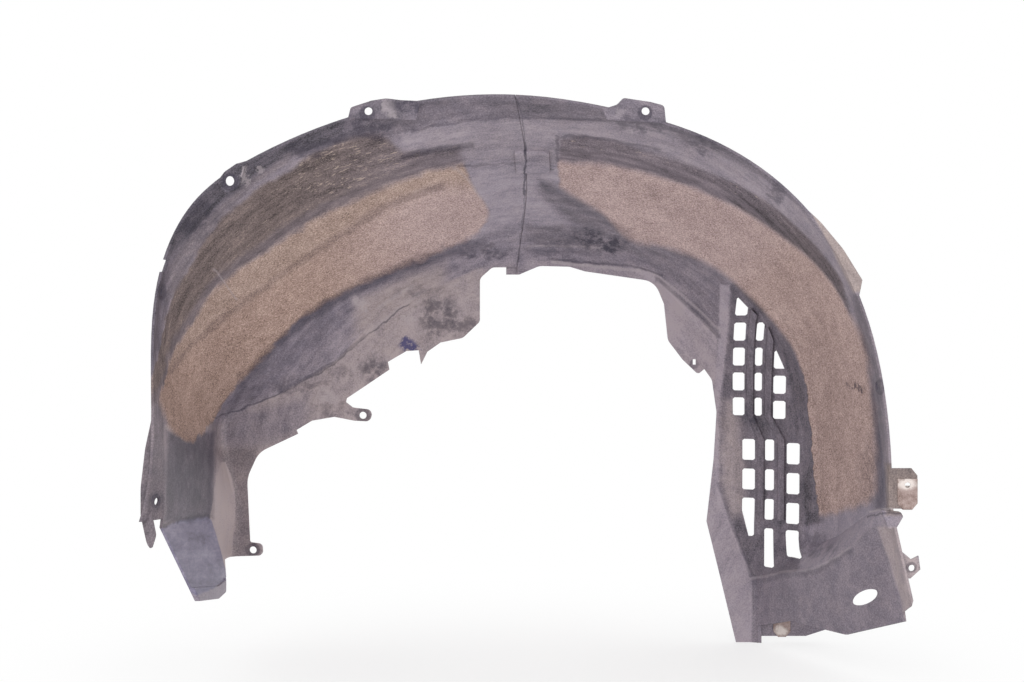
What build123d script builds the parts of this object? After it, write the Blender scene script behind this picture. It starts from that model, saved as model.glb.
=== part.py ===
from build123d import *
import os

# Front wheel arch liner in two lapped mouldings, with two spring nuts.
# +X points to the front of the car, +Y from the wheel side inwards, +Z up.
# The origin is midway between the two top fixing holes, on the outer face of their tabs.

# Walls, laps and clearances
WALL = 3.0
LAP = 14.0
LAP_GAP = 0.4
LAP_START = 8.0
JOGGLE = 5.0

# Depths at which the four rails of the shell lie, from the outer edge inwards
EDGE_DEPTH = 0.0
FLANGE_DEPTH = 30.0
SHOULDER_DEPTH = 255.0
INNER_DEPTH = 305.0

# The rails, as (x, z) points from the rear knee over the crown to the front knee.
# The edge rail is the outermost line of the wall, and the others lie on its wheel side.
EDGE_ARCH = [(-405, -452), (-391.5, -318), (-377, -159), (-343, -98), (-272, -47), (-135, 4), (20, 17.5),
             (130, 0), (225, -31), (320, -97), (383, -192), (416, -312), (424, -430)]
FLANGE_ARCH = [(-386, -461), (-387.5, -330), (-374, -172), (-334, -117), (-268, -66), (-130, -25), (20, -3.5),
               (125, -13), (215, -36), (308, -102), (376, -192), (410, -310), (425, -431)]
SHOULDER_ARCH = [(-374, -478), (-373, -400), (-368, -338), (-320, -282), (-240, -215), (-130, -155),
                 (20, -109.5), (115, -117), (205, -138), (290, -186), (350, -246), (382, -340), (394, -515)]
INNER_ARCH = [(-352, -478), (-366, -415), (-369, -356), (-295, -316), (-205, -254), (-110, -199), (20, -151),
              (110, -152), (188, -163), (236, -208), (275, -268), (274, -370), (290, -478)]

# Where each rail goes below its knees: the rear toe, the front ledge and the front base
EDGE_ENDS = [(-365, -540), (426, -446), (470, -640)]
FLANGE_ENDS = [(-346.5, -543), (428, -448), (451, -640)]
SHOULDER_ENDS = [(-354, -552), (343, -548), (343, -640)]
INNER_ENDS = [(-364, -559), (322, -555), (322, -640)]

# How far the front ledge sinks midway between flange and shoulder
LEDGE_SAG = 14.0

# Strips that the tread is ruled in, and the share of the tread and of the wall that each rounding takes
TREAD_STRIPS = 4
TREAD_ROUNDING = 0.30
WALL_ROUNDING = 0.45
INNER_ROUNDING = 0.25
INNER_ROUND = 10.0

# Space that the cutters reach over
REACH = 700.0
FLOOR = -700.0

# Seam between the halves in plan, as (x, y)
SEAM = [(9, EDGE_DEPTH), (22, 120), (12, INNER_DEPTH)]

# How far the grille's ribs, the foot's lip and the snap tongue stand proud of the face that they lie on
PROUD = 3.0

# Snap tongue of the rear half, over the front half's face
TONGUE_START = 92.0
TONGUE_WIDTH = 40.0
TONGUE_LENGTH = 28.0
TONGUE_ROOT = 12.0

# In the outlines below, a point's third value is the radius of its corner.

# Top tabs and their fixing holes; each tab's outline is taken from its hole, as (x, z)
TAB_SPACING = 305.0
TAB_WALL = 3.0
TAB_HOLE_R = 4.4
REAR_TAB = [(-22.5, -8), (-19.5, 4, 4), (3.5, 11.5), (19.5, 14, 20), (35.5, 12), (57.5, 11), (52.5, -10)]
FRONT_TAB = [(-47.5, 2), (-31.5, 7, 8), (-24.5, 14.5, 5), (5.5, 10), (20.5, 6, 5), (22.5, -13), (-42.5, -10)]

# Rear shoulder tab's hole, and its outline from there
SHOULDER_HOLE = (-304.5, -77)
SHOULDER_TAB = [(-14.5, -1), (-6.5, 10, 10), (6.5, 19), (17.5, 22), (9.5, -9, 7), (-6.5, -14, 7)]

# Holes square to the flange, as (x, z)
SIDE_HOLE_R = 4.5
SIDE_HOLE_DEPTH = 17.0
REAR_SIDE_HOLES = [(-380, -198.5), (-395, -431)]
FRONT_SIDE_HOLES = [(413.5, -303)]

# Holes through the inner wall, as (x, z)
CLIP_HOLE_R = 4.6
REAR_CLIP_HOLES = [(-187, -349), (-329, -523)]
FLAP_SLOT = (241, -280)
FLAP_SLOT_SIZE = (4.0, 7.0)

# Torn inner edge of the rear half and trimmed inner edge of the front half, as (x, z)
REAR_INNER_EDGE = [(60, -157), (-20, -158, 10), (-36, -172, 10), (-36, -228, 8), (-58, -249, 10), (-87, -255),
                   (-104, -267), (-112, -283), (-115, -265), (-131, -266), (-155, -280), (-153, -290),
                   (-184, -311), (-208, -327), (-209, -332), (-200, -339, 6), (-174, -342, 7),
                   (-178, -357, 7), (-198, -356, 8), (-224, -351), (-253, -356), (-273, -368), (-271, -373),
                   (-322, -397, 30), (-337, -430, 40), (-333, -513, 3), (-317, -515, 6), (-316, -530, 6),
                   (-375, -532)]
FRONT_INNER_EDGE = [(-60, -167), (15, -167, 4), (41, -156, 20), (80, -157, 20), (100, -163), (190, -176, 25),
                    (202, -205), (207, -252, 15), (226, -277), (246, -296, 4), (254, -289), (264, -303, 12),
                    (270, -345, 30), (266, -407), (257, -486, 5), (274, -555), (295, -642)]
INNER_TRIM = 28.0

# Lower edges, as (y, z)
FOOT_EDGE = [(-20, -537), (FLANGE_DEPTH, -544), (170, -564), (235, -566), (SHOULDER_DEPTH, -552), (330, -558)]
BOX_EDGE = [(-20, -553), (FLANGE_DEPTH, -567), (130, -600), (235, -602), (300, -620)]
CAP_BOTTOM = -642.0

# Rear outer corner: where the flange stops, and the flared flap that hangs on below it, as (x, z)
FLANGE_STOP = -452.0
FLAP = [(-391, -330), (-400, -372, 80), (-405, -415, 80), (-405, -446, 20), (-398, -478, 20), (-393, -484, 2),
        (-388, -468, 12), (-392, -448), (-396, -400), (-391.5, -345)]
FLAP_DEPTH = 8.0
SIDE_NOTCH = [(-400, -179), (-373, -176), (-372, -164), (-400, -161)]
SIDE_NOTCH_DEPTH = 9.0

# Front outer corner: a lip that ends at a notch, as (x, z)
LIP = [(318, -97), (345, -122, 60), (370, -152, 60), (391, -186, 2), (387, -206), (378, -200), (345, -140)]

# Front box: the bead where its ledge meets the edge, and the corner cut off below, as (x, z)
BEAD = [(412, -439), (433, -441, 3), (436, -446, 3), (429, -458), (420, -460)]
BEAD_WALL = 6.0
BOX_CORNER = [(449, -531, 10), (438, -572), (480, -572), (480, -500), (445, -500)]

# Vent grille: two fields of windows in columns of (x, width, middle of row 0, first row, row to stop at),
# long windows of (x, width, top, height) below, and the outline in (x, z) that all of them keep within
UPPER_COLUMNS = [(297, 14.5, -209, 0, 5), (320.5, 9, -209, 1, 5), (345, 14.5, -212.5, 2, 5)]
UPPER_PITCH = 32.0
UPPER_HEIGHT = 23.0
LOWER_COLUMNS = [(309, 15.5, -392, 0, 2), (334, 11, -392, 0, 3), (361, 15, -395.5, 0, 3)]
LOWER_PITCH = 38.0
LOWER_HEIGHT = 27.0
LONG_WINDOWS = [(309, 15.5, -454, 50), (334, 11, -492.5, 50), (361, 15, -493, 33)]
GRILLE_FIELD = [(276, -180), (276, -355), (290, -366), (296, -450), (310, -504), (314, -600), (379, -600),
                (379, -455), (375, -379, 80), (350, -287, 80), (327, -234, 40), (282, -188)]
WINDOW_CORNER = 2.0
GRILLE_LEAD = 25.0
GRILLE_REACH = 75.0
RIB_WALL = 7.5

# Oval drain hole in the front box, as (x, z), with its size and tilt
DRAIN = (413.8, -549.4)
DRAIN_SIZE = (28.3, 13.0)
DRAIN_TILT = 55.0
DRAIN_REACH = 150.0

# Spring nuts: strips folded over the lower edge of a tab at (x, z), bored in front and forked behind
NUT_SHEET = 0.9
NUT_PLAY = 0.2
NUT_WIDTH = 22.0
NUT_LENGTH = 33.0
NUT_CORNER = 6.0
NUT_BORE_R = 3.0
NUT_BORE_HEIGHT = 26.0
NUT_FORK = 9.0
SIDE_NUT = (440.5, -437.5)
LOWER_NUT = (354, -634)

# Tabs that carry the spring nuts, with their outlines taken from there
NUT_TAB_WALL = 3.0
NUT_TAB_HOLE_R = 4.5
SIDE_TAB = [(-20.5, 44.5), (4.5, 44.5), (11, 36.5), (11, NUT_CORNER), (11 - NUT_CORNER, 0), (-20.5, 0)]
LOWER_TAB = [(-36, 54), (46, 54), (56, 8), (31, 0), (-29, 0)]

# Bracket on the front edge, with its outline taken from its hole
BRACKET_HOLE = (446.6, -503.5)
BRACKET_HOLE_R = 3.6
BRACKET = [(-12.6, 19.5), (-0.6, 9.5), (7.4, 13.5), (9.4, -1.5), (-1.6, -11.5), (-8.6, -11.5)]
BRACKET_DEPTH = 5.0

# Lip along the lower edge of the rear foot
FOOT_LIP = 15.0
FOOT_LIP_END = 238.0


def mixed(rail, other, share):
    """A rail part of the way from one rail to another."""
    depth = rail[0] + (other[0] - rail[0]) * share
    points = [(a + (c - a) * share, b + (d - b) * share) for (a, b), (c, d) in zip(rail[1], other[1])]
    return depth, points


def rounded(before, corner, after, share):
    """A rail on the curve that rounds off a corner rail."""
    return mixed(mixed(before, corner, share), mixed(corner, after, share), share)


def sunk(rail, share):
    """A rail of the tread with its ledge sunk, most of all midway from flange to shoulder."""
    depth, points = rail
    *arch, (x, z), base = points
    return depth, [*arch, (x, z - LEDGE_SAG * 4 * share * (1 - share)), base]


def grown(rail, amount):
    """A rail moved outwards, square to its own line."""
    depth, line = rail
    points = [Vector(*point) for point in line]
    moved = []
    for i, point in enumerate(points):
        along = points[min(i + 1, len(points) - 1)] - points[max(i - 1, 0)]
        out = Vector(-along.Y, along.X).normalized()
        moved.append((point.X + out.X * amount, point.Y + out.Y * amount))
    return depth, moved


def full_rail(depth, arch, ends):
    """A rail with its toe in front of its arch, and its ledge and base after it."""
    toe, ledge, base = ends
    return depth, [toe, *arch, ledge, base]


def rail_outline(depth, points):
    """The closed outline of a rail, as a sketch at its depth."""
    toe, *arch, ledge, base = points
    with BuildSketch(at_depth(depth)) as outline:
        with BuildLine():
            Line(toe, arch[0])
            Spline(arch)
            Polyline(arch[-1], ledge, base)
            Polyline(base, (base[0], FLOOR), (toe[0], FLOOR), toe)
        make_face()
    return outline.sketch


def at_depth(depth):
    """The upright plane at a depth, which faces outwards: a negative extrusion goes inwards."""
    return Plane.XZ.offset(-depth)


def wheel_space(amount):
    """The space that the shell wraps, grown by an amount."""
    edge = grown(full_rail(EDGE_DEPTH, EDGE_ARCH, EDGE_ENDS), amount - WALL)
    flange = grown(full_rail(FLANGE_DEPTH, FLANGE_ARCH, FLANGE_ENDS), amount)
    shoulder = grown(full_rail(SHOULDER_DEPTH + amount / 2, SHOULDER_ARCH, SHOULDER_ENDS), amount)
    inner = grown(full_rail(INNER_DEPTH + amount, INNER_ARCH, INNER_ENDS), amount)
    cap = grown(inner, -INNER_ROUND)
    shares = [(strip + 1) / TREAD_STRIPS * (1 - TREAD_ROUNDING) for strip in range(TREAD_STRIPS)]
    tread = [sunk(mixed(flange, shoulder, share), share) for share in shares]
    wall_start = mixed(shoulder, inner, WALL_ROUNDING)
    wall_end = mixed(inner, shoulder, INNER_ROUNDING)
    rails = [edge, flange, *tread]
    rails += [rounded(tread[-1], shoulder, wall_start, share) for share in (1 / 3, 2 / 3)]
    rails += [wall_start, wall_end, rounded(wall_end, inner, cap, 1 / 2), cap]
    outlines = [rail_outline(depth, points) for depth, points in rails]
    with BuildPart() as space:
        for near, far in zip(outlines, outlines[1:]):
            loft([near, far], ruled=True)
    return space.part


def seam_side(shift, side):
    """All that lies on one side of the seam, moved along X by a shift: side is -1 for the rear."""
    far = side * REACH
    with BuildPart() as zone:
        with BuildSketch():
            with BuildLine():
                seam = ThreePointArc(*[(x + shift, y) for x, y in SEAM])
                inner_end = (seam @ 1) + Vector(0, REACH)
                outer_end = (seam @ 0) - Vector(0, REACH)
                Polyline(seam @ 1, inner_end, (far, inner_end.Y), (far, outer_end.Y), outer_end, seam @ 0)
            make_face()
        extrude(amount=REACH, both=True)
    return zone.part


def prism(outline, depth, length, place=(0, 0)):
    """An outline of points, taken from a place, run inwards from a depth."""
    points = [(place[0] + x, place[1] + z) for x, z, *_ in outline]
    corners = [sum(corner) for _, _, *corner in outline]
    with BuildPart() as solid:
        with BuildSketch(at_depth(depth)):
            with BuildLine():
                FilletPolyline(*points, radius=corners, close=True)
            make_face()
        extrude(amount=-length)
    return solid.part


def rods(places, radius, depth, length):
    """Round rods along Y at places in (x, z), run inwards from a depth."""
    with BuildPart() as solid:
        with BuildSketch(at_depth(depth)):
            with Locations(*places):
                Circle(radius)
        extrude(amount=-length)
    return solid.part


def side_rods(places):
    """Round rods along X through the flange, at places in (x, z)."""
    with BuildPart() as solid:
        for x, z in places:
            with Locations(Plane((x, SIDE_HOLE_DEPTH, z), z_dir=(1, 0, 0))):
                Cylinder(SIDE_HOLE_R, 8 * WALL)
    return solid.part


def inner_trim(edge):
    """What lies inside the free edge of an inner wall."""
    return prism([*edge, (edge[-1][0], FLOOR), (edge[0][0], FLOOR)], INNER_DEPTH - INNER_TRIM, 2 * INNER_TRIM)


def lower_trim(edge, side):
    """What lies below a lower edge in (y, z), on one side of the car's wheel."""
    with BuildPart() as solid:
        with BuildSketch(Plane.YZ):
            with BuildLine():
                Polyline(*edge, (edge[-1][0], 2 * FLOOR), (edge[0][0], 2 * FLOOR), close=True)
            make_face()
        extrude(amount=side * REACH)
    return solid.part


def overlap(*solids):
    """What all of some solids share."""
    first, *others = solids
    with BuildPart() as shared:
        add(first)
        for other in others:
            add(other, mode=Mode.INTERSECT)
    return shared.part


def without(solid, cutter):
    """What a cutter leaves of a solid."""
    with BuildPart() as left:
        add(solid)
        add(cutter, mode=Mode.SUBTRACT)
    return left.part


def layer(zone, outer, inner):
    """What lies between two spaces, within a zone."""
    return without(overlap(zone, outer), inner)


def block(low, high):
    """A box between two corners."""
    with BuildPart() as solid:
        with Locations((Vector(*low) + Vector(*high)) / 2):
            Box(*(Vector(*high) - Vector(*low)))
    return solid.part


def grille_windows(columns, pitch, height):
    """The cutters of one field of windows."""
    with BuildPart() as windows:
        with BuildSketch(at_depth(SHOULDER_DEPTH - GRILLE_LEAD)) as outlines:
            for x, width, top, first, stop in columns:
                with Locations(*[(x, top - pitch * row) for row in range(first, stop)]):
                    Rectangle(width, height)
            chamfer(outlines.vertices(), WINDOW_CORNER)
        extrude(amount=-GRILLE_LEAD - GRILLE_REACH)
    return windows.part


def gaps(columns):
    """The middle of each gap between columns."""
    sides = [(x - width / 2, x + width / 2) for x, width, *_ in columns]
    return [(end + start) / 2 for (_, end), (start, _) in zip(sides, sides[1:])]


def reach(columns, pitch, height):
    """The top and the bottom of one field of windows."""
    _, _, top, _, stop = columns[1]
    return top + height / 2, top - pitch * (stop - 1) - height / 2


def grille_ribs():
    """Slabs between the columns, which run on from the upper field to the lower."""
    upper_high, upper_low = reach(UPPER_COLUMNS, UPPER_PITCH, UPPER_HEIGHT)
    lower_high, lower_low = reach(LOWER_COLUMNS, LOWER_PITCH, LOWER_HEIGHT)
    ribs = []
    for above, below in zip(gaps(UPPER_COLUMNS), gaps(LOWER_COLUMNS)):
        line = [(above, upper_high), (above, upper_low), (below, lower_high), (below, lower_low)]
        outline = [(x - RIB_WALL / 2, z) for x, z in line]
        outline += [(x + RIB_WALL / 2, z) for x, z in reversed(line)]
        ribs.append(prism(outline, SHOULDER_DEPTH - GRILLE_REACH, 2 * GRILLE_REACH))
    return ribs


def drain_cutter():
    """The oval drain hole's cutter."""
    with BuildPart() as cutter:
        with BuildSketch(at_depth(FLANGE_DEPTH + WALL)):
            with Locations(DRAIN):
                Ellipse(DRAIN_SIZE[0] / 2, DRAIN_SIZE[1] / 2, rotation=DRAIN_TILT)
        extrude(amount=-DRAIN_REACH)
    return cutter.part


def spring_nut(place, depth):
    """A strip folded over the lower edge of a tab whose outer face lies at a depth."""
    x, edge = place
    back = depth + NUT_TAB_WALL + NUT_PLAY
    top = edge + NUT_LENGTH
    fold = edge - NUT_PLAY
    bottom = fold - NUT_SHEET
    half = NUT_WIDTH / 2
    bore = (x, edge + NUT_BORE_HEIGHT)
    with BuildPart() as nut:
        with BuildSketch(at_depth(depth - NUT_SHEET)):
            with BuildLine():
                Polyline((x - half, top), (x - half, edge + NUT_CORNER), (x - half + NUT_CORNER, bottom),
                         (x + half - NUT_CORNER, bottom), (x + half, edge + NUT_CORNER), (x + half, top),
                         close=True)
            make_face()
        extrude(amount=depth - NUT_SHEET - back - NUT_SHEET)
        with Locations((x, (depth + back) / 2, (fold + top) / 2)):
            Box(NUT_WIDTH, back - depth, top - fold, mode=Mode.SUBTRACT)
        add(rods([bore], NUT_BORE_R, depth - 2 * NUT_SHEET, 3 * NUT_SHEET), mode=Mode.SUBTRACT)
        add(slot((x, top), (NUT_FORK, top - bore[1] + NUT_FORK), back, 2 * NUT_SHEET), mode=Mode.SUBTRACT)
    return nut.part


def nut_hole(place, depth):
    """The clearance hole through a tab, in line with its nut's bore."""
    bore = (place[0], place[1] + NUT_BORE_HEIGHT)
    return rods([bore], NUT_TAB_HOLE_R, depth - WALL, NUT_TAB_WALL + 2 * WALL)


def slot(place, size, depth, length):
    """An upright slot's cutter, run inwards from a depth."""
    with BuildPart() as cutter:
        with BuildSketch(at_depth(depth)):
            with Locations(place):
                Rectangle(*size)
        extrude(amount=-length)
    return cutter.part


inside = wheel_space(0)
outside = wheel_space(WALL)
proud = wheel_space(-PROUD)
lap_inside = wheel_space(WALL + LAP_GAP)
lap_outside = wheel_space(2 * WALL + LAP_GAP)
shell = without(outside, inside)

# Rear half
rear_tab_hole = (-TAB_SPACING / 2, 0)
rear_holes = [rear_tab_hole, SHOULDER_HOLE]
flange_end = [(-REACH, FLANGE_STOP), (-REACH / 3, FLANGE_STOP), (-REACH / 3, FLOOR), (-REACH, FLOOR)]
tongue_zone = overlap(seam_side(-TONGUE_ROOT, 1), seam_side(TONGUE_LENGTH, -1),
                      block((-REACH, TONGUE_START, -REACH), (REACH, TONGUE_START + TONGUE_WIDTH, REACH)))
lip_zone = overlap(lower_trim([(y, z + FOOT_LIP) for y, z in FOOT_EDGE], -1),
                   block((-REACH, FLANGE_DEPTH, FLOOR), (-REACH / 3, FOOT_LIP_END, 0)))
with BuildPart() as rear_liner:
    add(overlap(shell, seam_side(0, -1)))
    add(layer(lip_zone, inside, proud))
    trims = [inner_trim(REAR_INNER_EDGE),
             lower_trim(FOOT_EDGE, -1),
             prism(flange_end, -WALL, FLANGE_DEPTH + WALL),
             prism(SIDE_NOTCH, -WALL, SIDE_NOTCH_DEPTH + WALL)]
    add(trims, mode=Mode.SUBTRACT)
    tabs = [layer(tongue_zone, inside, proud),
            prism(FLAP, FLAP_DEPTH, WALL),
            prism(REAR_TAB, EDGE_DEPTH, TAB_WALL, rear_tab_hole),
            prism(SHOULDER_TAB, EDGE_DEPTH, TAB_WALL, SHOULDER_HOLE)]
    add(tabs)
    holes = [rods(rear_holes, TAB_HOLE_R, -WALL, TAB_WALL + 2 * WALL),
             rods(REAR_CLIP_HOLES, CLIP_HOLE_R, INNER_DEPTH - WALL, 3 * WALL),
             side_rods(REAR_SIDE_HOLES)]
    add(holes, mode=Mode.SUBTRACT)
rear_liner.part.label = "rear_liner"

# Front half
front_tab_hole = (TAB_SPACING / 2, 0)
windows = [grille_windows(UPPER_COLUMNS, UPPER_PITCH, UPPER_HEIGHT),
           grille_windows(LOWER_COLUMNS, LOWER_PITCH, LOWER_HEIGHT)]
windows += [grille_windows([(x, width, top - height / 2, 0, 1)], height, height)
            for x, width, top, height in LONG_WINDOWS]
lap_zone = overlap(seam_side(JOGGLE, -1), block((-REACH, LAP_START, -REACH), (REACH, REACH, REACH)))
lap = layer(overlap(lap_zone, seam_side(-LAP, 1)), lap_outside, lap_inside)
joggle = layer(overlap(lap_zone, seam_side(LAP_GAP, 1)), lap_outside, inside)
field = prism(GRILLE_FIELD, SHOULDER_DEPTH - GRILLE_REACH, 2 * GRILLE_REACH)
with BuildPart() as front_liner:
    add(overlap(shell, seam_side(LAP_GAP, 1)))
    add([joggle, lap])
    add([layer(overlap(rib, field), inside, proud) for rib in grille_ribs()])
    trims = [inner_trim(FRONT_INNER_EDGE),
             lower_trim(BOX_EDGE, 1),
             prism(BOX_CORNER, -WALL, FLANGE_DEPTH),
             block((0, -REACH, 2 * FLOOR), (REACH, REACH, CAP_BOTTOM))]
    trims += [overlap(window, field) for window in windows]
    add(trims, mode=Mode.SUBTRACT)
    tabs = [without(prism(LIP, EDGE_DEPTH, WALL), inside),
            prism(FRONT_TAB, EDGE_DEPTH, TAB_WALL, front_tab_hole),
            prism(SIDE_TAB, EDGE_DEPTH, NUT_TAB_WALL, SIDE_NUT),
            prism(LOWER_TAB, INNER_DEPTH, NUT_TAB_WALL, LOWER_NUT),
            prism(BEAD, EDGE_DEPTH, BEAD_WALL),
            prism(BRACKET, BRACKET_DEPTH, WALL, BRACKET_HOLE)]
    add(tabs)
    holes = [rods([front_tab_hole], TAB_HOLE_R, -WALL, TAB_WALL + 2 * WALL),
             rods([BRACKET_HOLE], BRACKET_HOLE_R, BRACKET_DEPTH - WALL, 3 * WALL),
             nut_hole(SIDE_NUT, EDGE_DEPTH),
             nut_hole(LOWER_NUT, INNER_DEPTH),
             slot(FLAP_SLOT, FLAP_SLOT_SIZE, INNER_DEPTH - WALL, 3 * WALL),
             side_rods(FRONT_SIDE_HOLES),
             drain_cutter()]
    add(holes, mode=Mode.SUBTRACT)
front_liner.part.label = "front_liner"

# Spring nuts
with BuildPart() as spring_nut_side:
    add(spring_nut(SIDE_NUT, EDGE_DEPTH))
spring_nut_side.part.label = "spring_nut_side"

with BuildPart() as spring_nut_lower:
    add(spring_nut(LOWER_NUT, INNER_DEPTH))
spring_nut_lower.part.label = "spring_nut_lower"

os.makedirs("parts", exist_ok=True)
export_step(rear_liner.part, "parts/rear_liner.step")
export_step(front_liner.part, "parts/front_liner.step")
export_step(spring_nut_side.part, "parts/spring_nut_side.step")
export_step(spring_nut_lower.part, "parts/spring_nut_lower.step")
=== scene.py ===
import math

import bpy
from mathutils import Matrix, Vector


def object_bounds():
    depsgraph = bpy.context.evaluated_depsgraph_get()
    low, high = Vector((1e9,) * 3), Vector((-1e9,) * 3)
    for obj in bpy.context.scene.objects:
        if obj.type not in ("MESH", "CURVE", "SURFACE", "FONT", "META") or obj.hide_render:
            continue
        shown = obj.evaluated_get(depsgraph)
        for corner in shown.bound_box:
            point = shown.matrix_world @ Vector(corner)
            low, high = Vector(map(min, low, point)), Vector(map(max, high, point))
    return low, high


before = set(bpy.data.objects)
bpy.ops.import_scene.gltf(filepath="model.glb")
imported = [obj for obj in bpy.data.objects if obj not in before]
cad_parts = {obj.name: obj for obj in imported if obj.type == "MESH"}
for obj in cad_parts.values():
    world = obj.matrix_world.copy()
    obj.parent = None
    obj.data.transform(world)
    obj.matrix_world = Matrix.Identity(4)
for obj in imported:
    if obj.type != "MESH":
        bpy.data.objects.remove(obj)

CAD_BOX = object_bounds()

# The photograph's size in pixels, the size of a pixel at the tabs' outer face and where it was taken from, in metres,
# and the width of the camera's sensor in millimetres
PHOTO_WIDTH = 1024
PHOTO_HEIGHT = 682
PIXEL = 0.0011
CAMERA = Vector((0.0055, -1.750, -0.253))
SENSOR = 36.0

# Axis that the arch bends round, as (x, z), its usual radius, how much a face towards the camera counts as the wheel
# side, and the range over which the wheel side turns into the back
ARCH_CENTRE = (0.010, -0.420)
ARCH_RADIUS = 0.40
OUTWARD_SHARE = 0.25
WHEEL_SIDE_FADE = (-0.02, 0.02)

# Colours by tone, from dark to light: clean and dusty plastic, the rear foot, felt, dirt bands and rust
CLEAN_TONES = [(0.0, (0.022, 0.020, 0.027)), (0.5, (0.190, 0.164, 0.207)), (1.0, (0.405, 0.352, 0.412))]
DUSTY_TONES = [(0.0, (0.026, 0.022, 0.020)), (0.5, (0.208, 0.162, 0.152)), (1.0, (0.445, 0.360, 0.335))]
FOOT_TONES = [(0.0, (0.040, 0.036, 0.075)), (0.5, (0.192, 0.178, 0.268)), (1.0, (0.390, 0.360, 0.460))]
BROWN_FELT_TONES = [(0.0, (0.145, 0.098, 0.080)), (0.5, (0.448, 0.318, 0.272)), (1.0, (0.760, 0.580, 0.510))]
OLIVE_FELT_TONES = [(0.0, (0.140, 0.100, 0.080)), (0.5, (0.425, 0.311, 0.268)), (1.0, (0.735, 0.575, 0.500))]
PINK_FELT_TONES = [(0.0, (0.160, 0.116, 0.112)), (0.5, (0.478, 0.358, 0.346)), (1.0, (0.780, 0.625, 0.605))]
BROWN_BAND_TONES = [(0.0, (0.030, 0.023, 0.022)), (0.5, (0.188, 0.145, 0.141)), (1.0, (0.400, 0.310, 0.280))]
PURPLE_BAND_TONES = [(0.0, (0.036, 0.030, 0.035)), (0.5, (0.205, 0.170, 0.198)), (1.0, (0.400, 0.335, 0.360))]
RUST_TONES = [(0.0, (0.110, 0.062, 0.045)), (0.5, (0.365, 0.270, 0.250)), (1.0, (0.560, 0.450, 0.420))]
# Single colours, with opacity: fibres, blue stain, dark dirt and painted shade, pale wear and painted highlights, the
# nuts' painted highlight, room
FLECK = (0.540, 0.430, 0.370, 1.0)
BLUE_STAIN = (0.035, 0.035, 0.150, 1.0)
GRIME_AND_SHADE = (0.026, 0.021, 0.042, 1.0)
LIGHT_DUST_AND_HIGHLIGHT = (0.460, 0.400, 0.420, 1.0)
NUT_HIGHLIGHT_COLOUR = (0.800, 0.720, 0.680, 1.0)
WHITE = (1.0, 1.0, 1.0, 1.0)

# Felt fields and the dirt bands above them: edges in photograph pixels, as (across, down)
REAR_FELT_TOP = [(140, 420), (160, 395), (170, 360), (192, 322), (220, 285), (270, 250), (320, 217), (380, 190),
                 (430, 171), (470, 164)]
REAR_FELT_RIDGE = [(150, 455), (190, 443), (205, 430), (225, 400), (260, 362), (300, 320), (360, 285), (430, 257),
                   (465, 240), (490, 222)]
REAR_BAND_TOP = [(150, 385), (156, 365), (165, 317), (192, 260), (235, 207), (285, 172), (355, 137), (385, 137),
                 (402, 151), (465, 145), (490, 147)]
REAR_BAND_END = 463
FRONT_FELT_TOP = [(540, 161), (566, 162), (620, 167), (660, 177), (725, 202), (775, 232), (825, 275), (850, 317)]
FRONT_FELT_RIDGE = [(545, 178), (575, 197), (600, 212), (632, 241), (662, 246), (712, 266), (750, 297), (780, 330),
                    (795, 352), (806, 385), (812, 447), (819, 523)]
FRONT_FELT_FOOT = [(800, 522), (819, 522), (840, 512), (860, 505), (880, 490)]
FRONT_FELT_START = 559
FRONT_BAND_TOP = [(552, 156), (559, 144), (568, 137), (600, 139), (640, 150), (720, 177), (760, 197), (800, 230),
                  (825, 257), (847, 290), (860, 320)]

# The felt's upright ends, as (down, across)
REAR_FELT_END = [(160, 463), (180, 470), (195, 479), (205, 486), (215, 488), (230, 480)]
REAR_FELT_START = [(380, 156), (395, 158), (410, 162), (430, 171), (443, 190), (450, 215)]
FRONT_FELT_SIDE = [(290, 843), (317, 852), (342, 864), (385, 871), (422, 875), (460, 876), (500, 876)]

# Felt, dirt band and the band's smooth strip just above the felt, each by its edges as side, edge and softness in
# pixels, and how wide the strip is
BELOW, ABOVE, RIGHT, LEFT = "below", "above", "right", "left"
STRIP_WIDTH = 13
REAR_FELT = [(BELOW, REAR_FELT_TOP, 5), (ABOVE, REAR_FELT_RIDGE, 4), (LEFT, REAR_FELT_END, 3),
             (RIGHT, REAR_FELT_START, 5)]
REAR_BAND = [(BELOW, REAR_BAND_TOP, 5), (ABOVE, REAR_FELT_TOP, 5), (LEFT, REAR_BAND_END, 6)]
REAR_STRIP = [(BELOW, [(u, v - STRIP_WIDTH) for u, v in REAR_FELT_TOP], 5)]
FRONT_FELT = [(BELOW, FRONT_FELT_TOP, 4), (ABOVE, FRONT_FELT_RIDGE, 5), (RIGHT, FRONT_FELT_START, 2),
              (LEFT, FRONT_FELT_SIDE, 6), (ABOVE, FRONT_FELT_FOOT, 7)]
FRONT_BAND = [(BELOW, FRONT_BAND_TOP, 3), (ABOVE, FRONT_FELT_TOP, 4), (RIGHT, FRONT_FELT_START, 2),
              (LEFT, FRONT_FELT_SIDE, 3)]
FRONT_STRIP = [(BELOW, [(u, v - STRIP_WIDTH) for u, v in FRONT_FELT_TOP], 5)]

# Crease between flange and tread, and the crack along the rear inner wall
CREASE = [(160, 350), (168, 305), (180, 268), (205, 230), (245, 190), (310, 150), (407, 132), (475, 120), (524, 117),
          (560, 119), (667, 129), (735, 162), (787, 196), (826, 235), (852, 275), (866, 320)]
CRACK = [(205, 425), (255, 405), (305, 380), (342, 355), (365, 330), (405, 307), (440, 287), (490, 262)]

# Patches of plastic, one laid over another: ACROSS has rows of (across, upper, lower), DOWN of (down, left, right).
# After the rows come the softness in pixels, the tone and the dust.
ACROSS, DOWN = "across", "down"
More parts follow.
